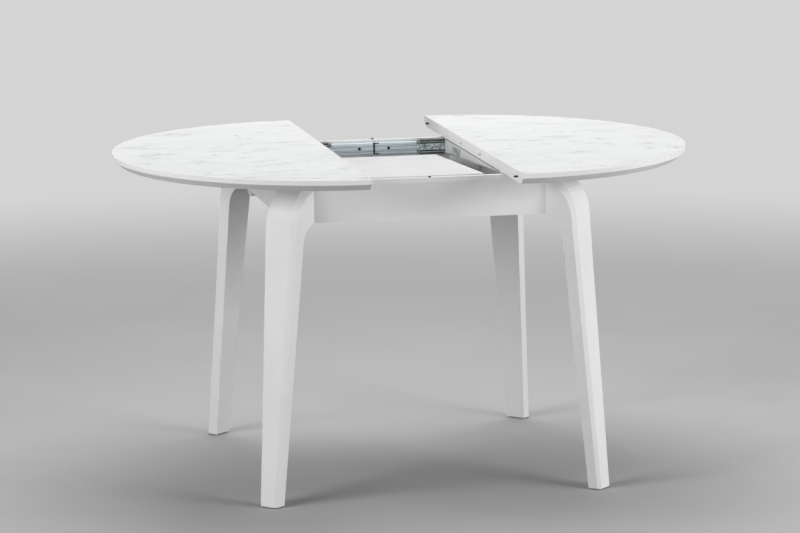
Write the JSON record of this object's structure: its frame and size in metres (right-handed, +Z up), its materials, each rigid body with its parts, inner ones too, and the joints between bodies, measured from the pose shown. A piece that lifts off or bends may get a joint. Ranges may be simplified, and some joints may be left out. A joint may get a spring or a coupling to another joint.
{
  "type": "extendable dining table",
  "caption": "Round marble-look dining table on a white wooden frame; the half tops slide apart on telescopic slides over a folded spare leaf.",
  "frame": {"origin": "on the floor under the middle of the table", "axes": "+Z up, X along the sliding direction of the half tops, -Y towards the front apron"},
  "size_m": [1.34, 1, 0.75],
  "materials": {
    "painted_wood": "satin white paint",
    "marble_facing": "satin marble-look facing with fine grey veins",
    "bare_wood": "pale unfinished hardwood",
    "zinc_steel": "bright zinc plate",
    "dark_steel": "dark coated sheet steel",
    "rubber": "matte",
    "nylon": "off-white nylon"
  },
  "bodies": {
    "frame": {"front_left_leg": "painted_wood", "front_left_foot_glide": "nylon", "front_left_corner_block": "bare_wood", "front_left_leg_bolt": "zinc_steel", "front_left_fixed_rail": "zinc_steel", "front_right_leg": "painted_wood", "front_right_foot_glide": "nylon", "front_right_corner_block": "bare_wood", "front_right_leg_bolt": "zinc_steel", "front_right_fixed_rail": "zinc_steel", "rear_left_leg": "painted_wood", "rear_left_foot_glide": "nylon", "rear_left_corner_block": "bare_wood", "rear_left_leg_bolt": "zinc_steel", "rear_left_fixed_rail": "zinc_steel", "rear_right_leg": "painted_wood", "rear_right_foot_glide": "nylon", "rear_right_corner_block": "bare_wood", "rear_right_leg_bolt": "zinc_steel", "rear_right_fixed_rail": "zinc_steel", "front_apron": "painted_wood", "front_slide_stop": "rubber", "front_bumper": "rubber", "rear_apron": "painted_wood", "rear_slide_stop": "rubber", "rear_bumper": "rubber", "left_apron": "painted_wood", "left_slip_strip": "nylon", "left_leaf_hinge": "zinc_steel", "right_apron": "painted_wood", "right_slip_strip": "nylon", "right_leaf_hinge": "zinc_steel", "leaf_lower_panel": "painted_wood", "leaf_upper_panel": "painted_wood", "front_leaf_rest": "bare_wood", "rear_leaf_rest": "bare_wood"},
    "left_half": {"front_left_runner": "zinc_steel", "front_left_batten": "bare_wood", "rear_left_runner": "zinc_steel", "rear_left_batten": "bare_wood", "left_top_board": "painted_wood", "left_top_facing": "marble_facing", "left_cross_board": "painted_wood", "left_catch_tongue": "zinc_steel"},
    "right_half": {"front_right_runner": "zinc_steel", "front_right_batten": "bare_wood", "rear_right_runner": "zinc_steel", "rear_right_batten": "bare_wood", "right_top_board": "painted_wood", "right_top_facing": "marble_facing", "right_cross_board": "painted_wood", "front_outer_pin": "dark_steel", "front_inner_pin": "nylon", "rear_outer_pin": "dark_steel", "rear_inner_pin": "nylon", "right_catch": "zinc_steel"},
    "left_channels": {"front_left_slide_channel": "dark_steel", "rear_left_slide_channel": "dark_steel"},
    "right_channels": {"front_right_slide_channel": "dark_steel", "rear_right_slide_channel": "dark_steel"}
  },
  "joints": [
    {"name": "left_top_slide", "type": "slide", "parent": "frame", "child": "left_half", "axis": [1, 0, 0], "range_m": [0, 0.1698]},
    {"name": "right_top_slide", "type": "slide", "parent": "frame", "child": "right_half", "axis": [-1, 0, 0], "range_m": [0, 0.1698]},
    {"name": "left_channel_slide", "type": "slide", "parent": "frame", "child": "left_channels", "axis": [1, 0, 0], "range_m": [0, 0.0849]},
    {"name": "right_channel_slide", "type": "slide", "parent": "frame", "child": "right_channels", "axis": [-1, 0, 0], "range_m": [0, 0.0849]}
  ],
  "couplings": [
    {"joint": "left_channel_slide", "follows": "left_top_slide", "ratio": 0.5},
    {"joint": "right_channel_slide", "follows": "right_top_slide", "ratio": 0.5}
  ]
}
